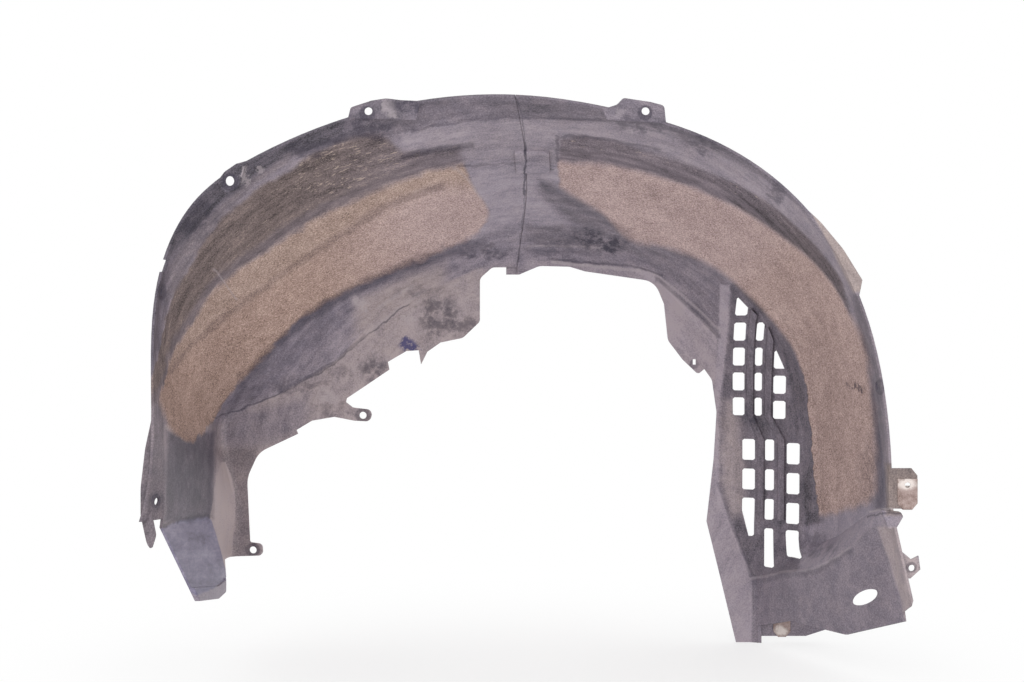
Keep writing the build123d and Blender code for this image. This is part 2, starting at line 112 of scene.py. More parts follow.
# Smooth field between the halves: light strip under the crease, middle, streaked lower edge and lip
SEAM_PATCHES = [
    (ACROSS, [(402, 133, 153), (440, 128, 146), (470, 123, 160), (524, 119, 160), (560, 121, 138), (600, 125, 139),
              (667, 133, 152), (735, 164, 182), (787, 198, 218)], 3, 0.78, 0.1),
    (ACROSS, [(468, 160, 240), (490, 160, 262), (524, 160, 246), (556, 165, 225), (600, 215, 232)], 6, 0.82, 0.0),
    (ACROSS, [(440, 250, 268), (490, 232, 268), (524, 228, 262), (600, 226, 260), (645, 240, 266)], 7, 0.60, 0.0),
    (ACROSS, [(526, 261, 280), (560, 261, 282), (600, 265, 288), (640, 269, 292), (662, 278, 305)], 2, 0.78, 0.1),
]
REAR_PATCHES = [
    # Flange, the light strip along its crease, and its blotched end by the tab
    (ACROSS, [(160, 170, 264), (198, 140, 226), (228, 130, 194), (257, 110, 172), (300, 100, 150), (345, 95, 136)],
     4, 0.22, 0.0),
    (DOWN, [(245, 140, 172), (300, 135, 161), (350, 135, 156), (375, 135, 155)], 3, 0.30, 0.0),
    (ACROSS, [(170, 266, 300), (180, 248, 283), (198, 229, 250), (228, 198, 210), (257, 175, 184), (289, 154, 160)],
     5, 0.54, 0.3),
    (ACROSS, [(345, 95, 134), (372, 95, 132), (415, 95, 130)], 6, 0.40, 0.1),
    (ACROSS, [(214, 172, 198), (232, 166, 196), (250, 158, 182)], 4, 0.20, 0.0),
    # Slope under the felt, painted shade just under its ridge, light to the right, and the inner wall's greyer lower
    # part
    (ACROSS, [(216, 408, 424), (260, 354, 398), (300, 313, 360), (360, 280, 310), (430, 255, 272)], 8, 0.50, 0.0),
    (ACROSS, [(355, 300, 335), (400, 278, 314), (445, 264, 295)], 9, 0.88, 0.6),
    (ACROSS, [(222, 408, 450), (262, 410, 445), (306, 396, 430)], 9, 0.66, 0.2),
    # Lower strip of the flange
    (DOWN, [(385, 140, 160), (420, 136, 164), (470, 132, 165), (519, 132, 164), (550, 132, 160)], 2, 0.46, 0.3),
    # Foot: dark hollow as painted shade of the recessed wall, leg, light facet, and lip
    (DOWN, [(432, 168, 214), (470, 165, 214), (521, 165, 211)], 4, 0.33, 0.1),
    (DOWN, [(448, 212, 256), (466, 223, 256), (482, 233, 256), (515, 235, 256), (560, 231, 256)], 6, 0.60, 0.5),
    (DOWN, [(462, 222, 225), (478, 216, 232), (500, 213, 235), (519, 210, 235), (556, 220, 232), (579, 226, 227)],
     1, 1.06, 0.6),
    (ACROSS, [(184, 592, 610), (205, 588, 610), (228, 580, 610)], 2, 0.68, 0.0),
]
FRONT_PATCHES = [
    # Dark border of the felt, speckled panel, flap and end strip
    (ACROSS, [(540, 180, 196), (575, 196, 226), (600, 211, 242), (636, 238, 256)], 8, 0.50, 0.1),
    (ACROSS, [(526, 226, 240), (560, 228, 244), (600, 232, 252), (622, 240, 256)], 5, 0.54, 0.1),
    (ACROSS, [(630, 241, 252), (650, 245, 264), (665, 248, 281), (690, 256, 307), (712, 268, 330), (724, 276, 342)],
     2, 0.54, 0.1),
    (ACROSS, [(648, 270, 340), (664, 281, 360), (690, 308, 385), (717, 333, 385)], 2, 0.96, 0.2),
    (DOWN, [(285, 720, 730), (346, 718, 726), (400, 714, 720), (440, 712, 718)], 1.5, 0.94, 0.1),
    # Grille, browner at its left, and the box's light side
    (DOWN, [(284, 731, 738), (300, 731, 755), (330, 729, 781), (385, 723, 807), (440, 720, 813), (482, 720, 816),
            (535, 736, 819), (577, 752, 819)], 1.5, 0.40, 0.1),
    (DOWN, [(300, 750, 764), (330, 774, 790), (385, 790, 808), (440, 800, 814), (500, 802, 818), (530, 806, 822)],
     5, 0.32, 0.1),
    (DOWN, [(400, 722, 738), (450, 721, 744), (480, 721, 746), (516, 730, 746)], 8, 0.80, 0.5),
    (DOWN, [(440, 706, 718), (482, 700, 719), (535, 700, 736), (577, 708, 752), (650, 725, 758)], 1.5, 0.92, 0.1),
    # Box: panel, right strip, and the dark ledge above
    (ACROSS, [(752, 579, 650), (818, 568, 650), (852, 547, 650), (868, 529, 650), (880, 526, 650), (902, 612, 650)],
     1.5, 0.56, 0.1),
    (DOWN, [(527, 877, 900), (563, 890, 920), (600, 901, 926), (630, 907, 926)], 2, 0.82, 0.5),
    (ACROSS, [(800, 526, 570), (818, 524, 567), (848, 512, 547), (866, 507, 528), (892, 500, 519)], 3, 0.68, 0.0),
    # Flange: dark strip beside the felt, light edge, tan lip and the nut's tab
    (DOWN, [(385, 869, 884), (440, 874, 889), (508, 877, 893)], 3, 0.40, 0.0),
    (DOWN, [(275, 852, 870), (330, 858, 880), (390, 873, 898), (440, 881, 900), (508, 889, 900)], 2, 0.66, 0.2),
    (DOWN, [(212, 811, 822), (250, 832, 850), (292, 853, 870)], 2, 0.78, 0.8),
    (DOWN, [(464, 886, 930), (515, 886, 930)], 3, 0.58, 0.9),
]

# Bluish panel of the rear foot, as (across, upper, lower), and a blue stain as (across, down, half width, half height)
FOOT_PANEL = [(160, 529, 548), (180, 520, 582), (195, 518, 596), (211, 517, 590), (219, 545, 584), (228, 577, 580)]
BLUE_PLACE = (409, 346, 10, 6)
# Parts of the box and of the foot without streaks, in the panel's form
CALM_BOX = [(735, 590, 650), (760, 560, 650), (818, 530, 650), (852, 510, 650), (880, 500, 650), (902, 500, 650)]
CALM_FOOT = [(150, 440, 620), (230, 440, 620), (258, 450, 620)]
# Where the felt turns pinker, in the stain's form, and the height range over which it darkens
PINK_PLACE = (590, 215, 270, 150)
FELT_DARKENING = (240, 440)
# Where most fibres lie in the rear dirt band, in the stain's form
FIBRE_PLACE = (352, 172, 80, 40)
# Dark smear along the rear felt, over which the felt is more olive
REAR_SMEAR = [(170, 372), (200, 338), (267, 286), (300, 262), (340, 236), (380, 211), (440, 186)]
# The shoulder tab's hole in the stain's form, which goes on through the flange behind the tab, the shares of its size
# over which it opens, and how many times its size the faces round it reach
SHOULDER_HOLE = (230, 181, 4.2, 4.9)
HOLE_FADE = (0.95, 1.05)
HOLE_REACH = 2

# Dark lines of dirt, joints and painted shade: direction, points, width and softness in pixels, and strength
SEAM_DARK_LINES = [
    # Seam, darkest in its middle
    (DOWN, [(96, 515), (117, 522), (145, 525), (200, 524), (262, 518)], 0.5, 1.0, 0.45),
    (DOWN, [(143, 525), (170, 525), (194, 524)], 1.2, 1.0, 0.80),
]
REAR_DARK_LINES = [
    # Crack of the inner wall with painted shade of the slope beside it, the outer edge's crease and the dirt band's
    # end
    (ACROSS, [(214, 418), (255, 404), (295, 386), (321, 372), (360, 341), (408, 304)], 0.6, 1.4, 0.60),
    (ACROSS, [(280, 391), (321, 370), (364, 336)], 1.2, 3.0, 0.45),
    (ACROSS, [(412, 131), (475, 120), (524, 117), (560, 119)], 0.8, 1.8, 0.40),
    (ACROSS, [(404, 157), (440, 149), (472, 146)], 2.5, 4.0, 0.50),
    (ACROSS, [(300, 154), (340, 139), (360, 135), (380, 138)], 2.0, 5.0, 0.60),
    (ACROSS, [(460, 167), (495, 164), (522, 163)], 0.8, 2.0, 0.40),
    # Smear across the felt, painted shade along the felt's ridge, and painted shadow in the foot's crease and corner
    (ACROSS, REAR_SMEAR, 2.0, 6.0, 0.30),
    (ACROSS, [(245, 381), (270, 352), (320, 309), (380, 277), (440, 256), (480, 246)], 5.0, 8.0, 0.50),
    (ACROSS, [(165, 526), (180, 520), (211, 516)], 1.2, 3.0, 0.60),
    (DOWN, [(425, 214), (450, 212), (475, 211), (515, 210)], 2.5, 5.0, 0.40),
]
FRONT_DARK_LINES = [
    # Outer edge's crease and the tongue's outline
    (ACROSS, [(500, 118), (560, 119), (667, 129), (700, 143)], 0.8, 1.8, 0.40),
    (ACROSS, [(528, 168), (540, 167), (553, 170)], 0.8, 1.2, 0.50),
    (ACROSS, [(528, 151), (540, 152), (546, 153)], 0.5, 1.0, 0.40),
    # Dirt along the felt's start and its outer side
    (ACROSS, [(546, 186), (575, 202), (600, 217), (626, 234)], 3.0, 7.0, 0.32),
    (DOWN, [(137, 558), (150, 557), (160, 557)], 1.0, 2.0, 0.55),
    (ACROSS, [(557, 138), (570, 136), (600, 139), (660, 149)], 1.0, 2.0, 0.45),
    (DOWN, [(300, 857), (350, 869), (400, 876), (450, 880), (505, 878)], 3.0, 7.0, 0.45),
    # Painted shade along the lower lip's fold, the flap's ridge, the ledge's bead, the box's fold and the panel's top
    # ridge
    (ACROSS, [(550, 259), (600, 264), (640, 268), (662, 276)], 0.8, 1.5, 0.55),
    (ACROSS, [(528, 251), (560, 252), (600, 254)], 1.5, 3.0, 0.30),
    (ACROSS, [(658, 279), (690, 308), (719, 337)], 1.8, 3.0, 0.50),
    (ACROSS, [(868, 517), (885, 513), (902, 513)], 1.0, 1.0, 0.60),
    (DOWN, [(484, 719), (535, 736), (577, 752)], 1.0, 2.0, 0.45),
    (ACROSS, [(752, 582), (780, 576), (818, 570), (850, 550)], 1.5, 4.0, 0.30),
]

# Light lines: painted highlights along ridges and folds, and scratches, in the same form
REAR_LIGHT_LINES = [
    (ACROSS, [(214, 268), (224, 282), (236, 299)], 1.0, 1.8, 0.35),
    (ACROSS, [(366, 334), (390, 316), (418, 294)], 1.5, 3.0, 0.30),
    (ACROSS, [(380, 307), (395, 296), (412, 286)], 1.2, 3.0, 0.30),
    (ACROSS, [(455, 168), (466, 178), (480, 198)], 1.2, 3.0, 0.25),
]
FRONT_LIGHT_LINES = [
    (ACROSS, [(750, 579), (780, 573), (818, 567), (850, 547)], 0.8, 1.8, 0.32),
    (ACROSS, [(553, 262), (600, 267), (640, 271)], 1.5, 1.5, 0.40),
    (ACROSS, [(528, 246), (560, 246), (604, 248)], 0.6, 1.5, 0.35),
    (ACROSS, [(655, 274), (690, 302), (718, 329)], 1.2, 2.0, 0.40),
    (DOWN, [(150, 529), (165, 529), (172, 531)], 0.8, 0.8, 0.40),
    (ACROSS, [(870, 512), (885, 509), (902, 510)], 1.0, 1.0, 0.50),
]

# Dirt round holes and stains: place, half width and half height in pixels, and strength, and the shares of their size
# over which they fade
SPOT_FADE = (0.5, 1.2)
REAR_STAINS = [
    (438, 316, 24, 28, 0.68),
    (466, 330, 14, 18, 0.60),
    (300, 385, 40, 7, 0.40),
    (335, 410, 26, 6, 0.40),
    (420, 290, 30, 5, 0.35),
    (374, 368, 17, 16, 0.68),
    (340, 372, 12, 7, 0.50),
    (305, 149, 24, 10, 0.55),
    (405, 105, 18, 8, 0.70),
    (352, 122, 10, 10, 0.55),
    (372, 128, 30, 8, 0.55),
    (480, 252, 40, 8, 0.60),
    (190, 215, 30, 24, 0.55),
    (188, 470, 22, 40, 0.45),
]
FRONT_STAINS = [
    (855, 386, 10, 3, 0.70),
    (588, 235, 18, 11, 0.90),
    (604, 243, 28, 9, 0.90),
    (565, 236, 44, 10, 0.40),
    (560, 250, 44, 8, 0.40),
    (708, 141, 28, 11, 0.60),
    (774, 191, 11, 14, 0.55),
    (640, 124, 32, 8, 0.55),
    (745, 412, 14, 8, 0.60),
    (800, 545, 44, 16, 0.45),
    (870, 470, 14, 40, 0.30),
]
# Dark rings round holes, in the same form, and the shares of their size over which they fade
RING_FADE = (0.8, 1.1)
REAR_RINGS = [(367, 114, 8.5, 8, 0.65), (230, 182, 9, 9, 0.65), (363, 415, 8, 7.5, 0.60), (253, 550, 8, 7, 0.65),
              (162, 292, 5, 9, 0.65), (156, 501, 5, 8, 0.60)]
FRONT_RINGS = [(645, 113, 8, 8.5, 0.65), (880, 387, 5, 9, 0.75), (694, 364, 5, 5, 0.50), (911, 567, 6, 6, 0.50)]
# Pale worn places, in the same form
REAR_WEAR = [(389, 108, 9, 8, 0.45), (362, 305, 7, 6, 0.65), (243, 174, 4, 12, 0.60), (258, 168, 4, 5, 0.50),
             (410, 318, 10, 4, 0.35), (328, 398, 10, 8, 0.35)]
FRONT_WEAR = [(880, 386, 2.5, 5, 0.60), (620, 112, 8, 6, 0.20), (758, 330, 3, 3, 0.15)]

# Painted highlights round the spring nuts' holes, in the same form
NUT_HIGHLIGHTS = [(907, 484, 10, 7, 0.9), (781, 631, 7, 5, 0.8)]

# What each half's material draws
REAR_HALF = {
    "felt": REAR_FELT, "band": REAR_BAND, "strip": REAR_STRIP, "patches": SEAM_PATCHES + REAR_PATCHES,
    "dark_lines": SEAM_DARK_LINES + REAR_DARK_LINES, "light_lines": REAR_LIGHT_LINES,
    "stains": REAR_STAINS, "rings": REAR_RINGS, "wear": REAR_WEAR,
}
FRONT_HALF = {
    "felt": FRONT_FELT, "band": FRONT_BAND, "strip": FRONT_STRIP, "patches": SEAM_PATCHES + FRONT_PATCHES,
    "dark_lines": SEAM_DARK_LINES + FRONT_DARK_LINES, "light_lines": FRONT_LIGHT_LINES,
    "stains": FRONT_STAINS, "rings": FRONT_RINGS, "wear": FRONT_WEAR,
}

# Noises as scale for each metre, detail and roughness; the foot's scale is for the photograph's width
BROAD_NOISE = (11.0, 4.0, 0.6)
MIDDLE_NOISE = (55.0, 5.0, 0.7)
GRAIN_NOISE = (560.0, 2.0, 0.7)
BLOTCH_NOISE = (75.0, 5.0, 0.75)
FOOT_NOISE = (45.0, 5.0, 0.8)
RUST_NOISE = (140.0, 4.0, 0.6)
STEEL_NOISE = (900.0, 2.0, 0.55)
FLOOR_NOISE = (2.0, 2.0, 0.55)
# Noises drawn out along the arch as scale, stretch and detail, and the roughness of both
STREAKS = (85.0, 6.0, 5.0)
STRANDS = (330.0, 4.0, 3.0)
ARC_ROUGHNESS = 0.7
# How drawn edges waver: a noise and its sway in pixels, or only the sway where the noise is one of those above
SMOOTH_WOBBLE = ((30.0, 2.0, 0.55), 3.0)
RAGGED_WOBBLE = ((45.0, 3.0, 0.6), 9.0)
LINED_WOBBLE = ((60.0, 2.0, 0.55), 6.0)
BLOTCHED_SWAY = 40.0
RUST_SWAY = 10.0

# Ground of the bare plastic: tones of the tread, flange, rear slope, rear inner wall and back, the dust of tread and
# wall, where the rear ends, and how soft these limits are in pixels
TREAD_TONE = 0.66
FLANGE_TONE = 0.46
SLOPE_TONE = 0.66
WALL_TONE = 0.88
BACK_TONE = 0.30
TREAD_DUST = 0.10
WALL_DUST = 0.50
REAR_END = 500
GROUND_SOFT = 20
CREASE_SOFT = 2
SLOPE_SOFT = 3
WALL_SOFT = 2
# How far each noise sways the plastic's tone, how soft the calm parts' limits are, how much and where edges are worn
# lighter, and the dust's usual share and its sway
PLASTIC_BROAD = 0.45
PLASTIC_MIDDLE = 0.60
PLASTIC_STREAKS = 0.80
PLASTIC_GRAIN = 0.95
CALM_SOFT = 4
EDGE_WEAR = 0.12
EDGE_FADE = (0.75, 0.97)
DUST_SHARE = 0.05
DUST_SWAY = 0.6
# The foot panel's tone, its sway and its softness, and how much the panel and the blue stain cover
FOOT_TONE = 0.5
FOOT_SWAY = 2.0
FOOT_SOFT = 1.5
STAIN_SHARE = 0.85

# Felt: tone, how far each noise sways it, how far it falls in the lower part of each half, how pink the front is, and
# how soft the limits of the rear's tones and of the olive part are
FELT_TONE = 0.52
FELT_GRAIN = 1.8
FELT_BROAD = 0.4
FELT_MIDDLE = 0.55
FRONT_FELT_FALL = -0.14
REAR_FELT_FALL = -0.15
FRONT_PINK = 0.6
FELT_REAR_SOFT = 5
OLIVE_SOFT = 12

# Dirt band: tone, how far each noise sways it, how far it falls to the front, from where and how softly, and the
# strip's share of the grain and of purple
BAND_TONE = 0.46
BAND_GRAIN = 1.3
BAND_STREAKS = 1.2
BAND_MIDDLE = 0.5
BAND_FALL = -0.14
BAND_FALL_START = 740
BAND_FALL_SOFT = 40
STRIP_GRAIN = 0.6
STRIP_PURPLE = 0.6
# Its fibres: the noise range that shows them, how much more of them lie at their place, and how plain they are in the
# band and in its strip
FIBRE_RANGE = (0.64, 0.72)
FIBRE_GATHERING = 0.07
BAND_FIBRES = 0.75
STRIP_FIBRES = 0.10

# Grime: the noise range that breaks it up, and how much of a dark line stays in the gaps
BLOTCH_RANGE = (0.34, 0.60)
LINE_IN_GAPS = 0.6

# Roughness of the plastic, what felt and band add to it, its sway, and the gloss of plastic and of felt
PLASTIC_ROUGHNESS = 0.55
FELT_ROUGHENING = 0.40
BAND_ROUGHENING = 0.30
ROUGHNESS_SWAY = 0.3
PLASTIC_GLOSS = 0.35
FELT_GLOSS = 0.05
# Softened edges in metres and the samples that soften them, how far the felt stands proud in metres, and the shares of
# that by which the grain of plastic and of felt and the middle noise stand out
EDGE_RADIUS = 0.0012
EDGE_SAMPLES = 4
FELT_THICKNESS = 0.0009
PLASTIC_RELIEF = 0.15
FELT_RELIEF = 0.8
MIDDLE_RELIEF = 0.35

# Spring nuts: tone, how far its noises sway it, share of metal, roughness and how much the painted highlights smooth
# it, and relief
RUST_TONE = 0.5
RUST_BROAD = 1.4
RUST_GRAIN = 0.6
RUST_METAL = 0.15
RUST_ROUGHNESS = 0.75
HIGHLIGHT_SMOOTHING = 0.25
RUST_RELIEF = 0.0004

# Studio: floor, its tones and roughness, where its white takes over from the shadow and how much of it is white at the
# least, the light all round, and lamps as place, size and power
FLOOR_SIZE = 30.0
FLOOR_TONES = [(0.0, (0.90, 0.90, 0.90)), (1.0, (0.94, 0.94, 0.94))]
FLOOR_ROUGHNESS = 0.9
FLOOR_FADE = (0.15, 0.75)
FLOOR_WHITE = 0.6
ROOM_LIGHT = 1.0
LAMP_AIM = Vector((0.0, 0.15, -0.30))
LAMPS = [
    ("key_light", (-0.7, -2.6, 1.1), 2.2, 16.0),
    ("fill_light", (1.5, -2.2, 0.1), 2.0, 7.0),
]

# Sockets of the Mix node for values and for colours: first, second and result
MIX_SOCKETS = {"FLOAT": (2, 3, 0), "RGBA": (6, 7, 2)}


class Shader:
    """A material's nodes: each call adds a node and returns its output."""

    def __init__(self, name):
        self.material = bpy.data.materials.new(name)
        self.material.use_nodes = True
        self.nodes = self.material.node_tree.nodes
        self.links = self.material.node_tree.links
        self.surface = self.nodes["Principled BSDF"]
        self.place = self.nodes.new("ShaderNodeTexCoord").outputs["Object"]

    def put(self, socket, value):
        """Links an output to a socket, or sets a plain value there."""
        if isinstance(value, bpy.types.NodeSocket):
            self.links.new(value, socket)
        else:
            socket.default_value = value

    def math(self, operation, *values):
        node = self.nodes.new("ShaderNodeMath")
        node.operation = operation
        for socket, value in zip(node.inputs, values):
            self.put(socket, value)
        return node.outputs[0]

    def chain(self, operation, values):
        """An operation on the first two values, then on its result and the next value, and so on."""
        result = values[0]
        for value in values[1:]:
            result = self.math(operation, result, value)
        return result

    def total(self, *values):
        return self.chain("ADD", values)

    def product(self, *values):
        return self.chain("MULTIPLY", values)

    def most(self, *values):
        return self.chain("MAXIMUM", values)

    def least(self, *values):
        return self.chain("MINIMUM", values)

    def difference(self, first, second):
        return self.math("SUBTRACT", first, second)

    def inverse(self, value):
        return self.difference(1.0, value)

    def around(self, noise, sway, middle=0.0):
        """A noise of mean one half, moved to a middle and stretched to a sway."""
        return self.math("MULTIPLY_ADD", noise, sway, middle - sway / 2)

    def step(self, value, low, high):
        """0 up to low, 1 from high on, and a smooth rise between."""
        node = self.nodes.new("ShaderNodeMapRange")
        node.interpolation_type = "SMOOTHSTEP"
        self.put(node.inputs["Value"], value)
        node.inputs["From Min"].default_value = low
        node.inputs["From Max"].default_value = high
        return node.outputs["Result"]

    def axes(self, vector):
        node = self.nodes.new("ShaderNodeSeparateXYZ")
        self.put(node.inputs[0], vector)
        return node.outputs

    def vector(self, x, y, z):
        node = self.nodes.new("ShaderNodeCombineXYZ")
        for socket, value in zip(node.inputs, (x, y, z)):
            self.put(socket, value)
        return node.outputs[0]

    def vectors(self, operation, first, second):
        """A product of two vectors; a dot product or a distance comes back as a value."""
        node = self.nodes.new("ShaderNodeVectorMath")
        node.operation = operation
        self.put(node.inputs[0], first)
        self.put(node.inputs[1], second)
        return node.outputs["Value" if operation in ("DOT_PRODUCT", "DISTANCE") else "Vector"]

    def noise(self, scale, detail, roughness, vector=None):
        node = self.nodes.new("ShaderNodeTexNoise")
        self.put(node.inputs["Vector"], self.place if vector is None else vector)
        node.inputs["Scale"].default_value = scale
        node.inputs["Detail"].default_value = detail
        node.inputs["Roughness"].default_value = roughness
        return node.outputs["Fac"]

    def ramp(self, value, tones):
        """A colour for a value, between (value, colour) stops."""
        node = self.nodes.new("ShaderNodeValToRGB")
        stops = node.color_ramp.elements
        for stop, (position, colour) in zip((stops[0], stops[1]), (tones[0], tones[-1])):
            stop.position = position
            stop.color = (*colour, 1.0)
        for position, colour in tones[1:-1]:
            stops.new(position).color = (*colour, 1.0)
        self.put(node.inputs[0], value)
        return node.outputs["Color"]

    def mixed(self, kind, share, first, second):
        """A second value or colour over a first one, by the node's sockets for that kind."""
        node = self.nodes.new("ShaderNodeMix")
        node.data_type = kind
        first_socket, second_socket, result = MIX_SOCKETS[kind]
        self.put(node.inputs[0], share)
        self.put(node.inputs[first_socket], first)
        self.put(node.inputs[second_socket], second)
        return node.outputs[result]

    def blend(self, share, first, second):
        return self.mixed("FLOAT", share, first, second)

    def mix(self, share, first, second):
        return self.mixed("RGBA", share, first, second)

    def curve(self, value, points, straight):
        """A smooth or straight line through (value, result) points, all between 0 and 1."""
        node = self.nodes.new("ShaderNodeFloatCurve")
        mapping = node.mapping
        mapping.extend = "HORIZONTAL"
        line = mapping.curves[0]
        line.points[0].location = points[0]
        line.points[1].location = points[-1]
        for point in points[1:-1]:
            line.points.new(*point)
        for point in line.points:
            point.handle_type = "VECTOR" if straight else "AUTO"
        mapping.update()
        self.put(node.inputs["Value"], value)
        return node.outputs["Value"]

    def bevel(self):
        """The surface's direction with its edges rounded off."""
        node = self.nodes.new("ShaderNodeBevel")
        node.samples = EDGE_SAMPLES
        node.inputs["Radius"].default_value = EDGE_RADIUS
        return node.outputs["Normal"]

    def bump(self, height, distance, normal):
        node = self.nodes.new("ShaderNodeBump")
        node.inputs["Distance"].default_value = distance
        self.put(node.inputs["Height"], height)
        self.put(node.inputs["Normal"], normal)
        return node.outputs["Normal"]

    def arc_noise(self, scale, stretch, detail):
        """Noise drawn out along the arch, as water leaves dirt."""
        x, y, z = self.axes(self.place)
        right, up = self.difference(x, ARCH_CENTRE[0]), self.difference(z, ARCH_CENTRE[1])
        angle = self.math("ARCTAN2", up, right)
        radius = self.math("SQRT", self.total(self.product(right, right), self.product(up, up)))
        stretched = self.vector(self.product(angle, ARCH_RADIUS / stretch), radius, y)
        return self.noise(scale, detail, ARC_ROUGHNESS, stretched)

    def set_surface(self, **inputs):
        """Sets the surface's inputs, named with underscores for spaces."""
        for name, value in inputs.items():
            self.put(self.surface.inputs[name.replace("_", " ")], value)


class Drawing:
    """Masks drawn in the photograph's pixels, and carried on the surface by a fixed formula from its own place."""

    def __init__(self, shader, noise=0.5, sway=0.0):
        self.shader = shader
        x, y, z = shader.axes(shader.place)
        wobble = shader.around(noise, sway / PHOTO_WIDTH)
        spread = shader.product(shader.difference(y, CAMERA.y), PHOTO_WIDTH * PIXEL / -CAMERA.y)
        across = shader.math("DIVIDE", shader.difference(x, CAMERA.x), spread)
        down = shader.math("DIVIDE", shader.difference(CAMERA.z, z), spread)
        self.u = shader.total(across, 0.5, wobble)
        self.v = shader.total(down, PHOTO_HEIGHT / PHOTO_WIDTH / 2, wobble)
        self.point = shader.vector(self.u, self.v, 1.0)

    def share(self, pixels):
        return pixels / PHOTO_WIDTH

    def step(self, gap, soft):
        """A rise from 0 to 1 where a gap changes its sign."""
        return self.shader.step(gap, self.share(-soft), self.share(soft))

    def ways(self, way):
        """The coordinates along and over a line."""
        return (self.u, self.v) if way == ACROSS else (self.v, self.u)

    def line(self, along, edge, straight=False):
        return self.shader.curve(along, [(self.share(a), self.share(b)) for a, b in edge], straight)

    def beside(self, side, edge, soft):
        """1 below or above an edge of (across, down) points, or right or left of (down, across) points or a place."""
        along, over = self.ways(ACROSS if side in (BELOW, ABOVE) else DOWN)
        line = self.share(edge) if isinstance(edge, int) else self.line(along, edge)
        beyond = self.step(self.shader.difference(over, line), soft)
        return self.shader.inverse(beyond) if side in (ABOVE, LEFT) else beyond

    def field(self, edges):
        """1 on the right side of all edges."""
        return self.shader.product(*[self.beside(*edge) for edge in edges])

    def between(self, way, rows, soft):
        """1 within a patch, whose rows are (across, upper, lower) or (down, left, right)."""
        along, over = self.ways(way)
        gap = self.shader.difference
        low = self.line(along, [(place, start) for place, start, end in rows], straight=True)
        high = self.line(along, [(place, end) for place, start, end in rows], straight=True)
        nearest = self.shader.least(gap(over, low), gap(high, over), gap(along, self.share(rows[0][0])),
                                    gap(self.share(rows[-1][0]), along))
        return self.step(nearest, soft)

    def stroke(self, way, edge, width, soft):
        """1 along a line of (across, down) or of (down, across) points."""
        along, over = self.ways(way)
        shader = self.shader
        beside = shader.math("ABSOLUTE", shader.difference(over, self.line(along, edge)))
        start, end = self.share(edge[0][0]), self.share(edge[-1][0])
        from_middle = shader.math("ABSOLUTE", shader.difference(along, (start + end) / 2))
        beyond = shader.difference(from_middle, (end - start) / 2)
        rise = shader.step(shader.most(beside, beyond), self.share(width / 2), self.share(width / 2 + soft))
        return shader.inverse(rise)

    def spot(self, u, v, width, height, fade=SPOT_FADE):
        """1 within an oval, fading out between two shares of its size."""
        scale = (PHOTO_WIDTH / width, PHOTO_WIDTH / height, 1.0)
        centre = (u / width, v / height, 1.0)
        gap = self.shader.vectors("DISTANCE", self.shader.vectors("MULTIPLY", self.point, scale), centre)
        return self.shader.inverse(self.shader.step(gap, *fade))

    def strokes(self, lines):
        """All lines of a list, each by its strength, in one mask."""
        return self.shader.most(*[self.shader.product(self.stroke(*line), strength) for *line, strength in lines])

    def spots(self, spots, fade=SPOT_FADE):
        """All spots of a list, each by its strength, in one mask."""
        return self.shader.most(*[self.shader.product(self.spot(*spot, fade), strength) for *spot, strength in spots])


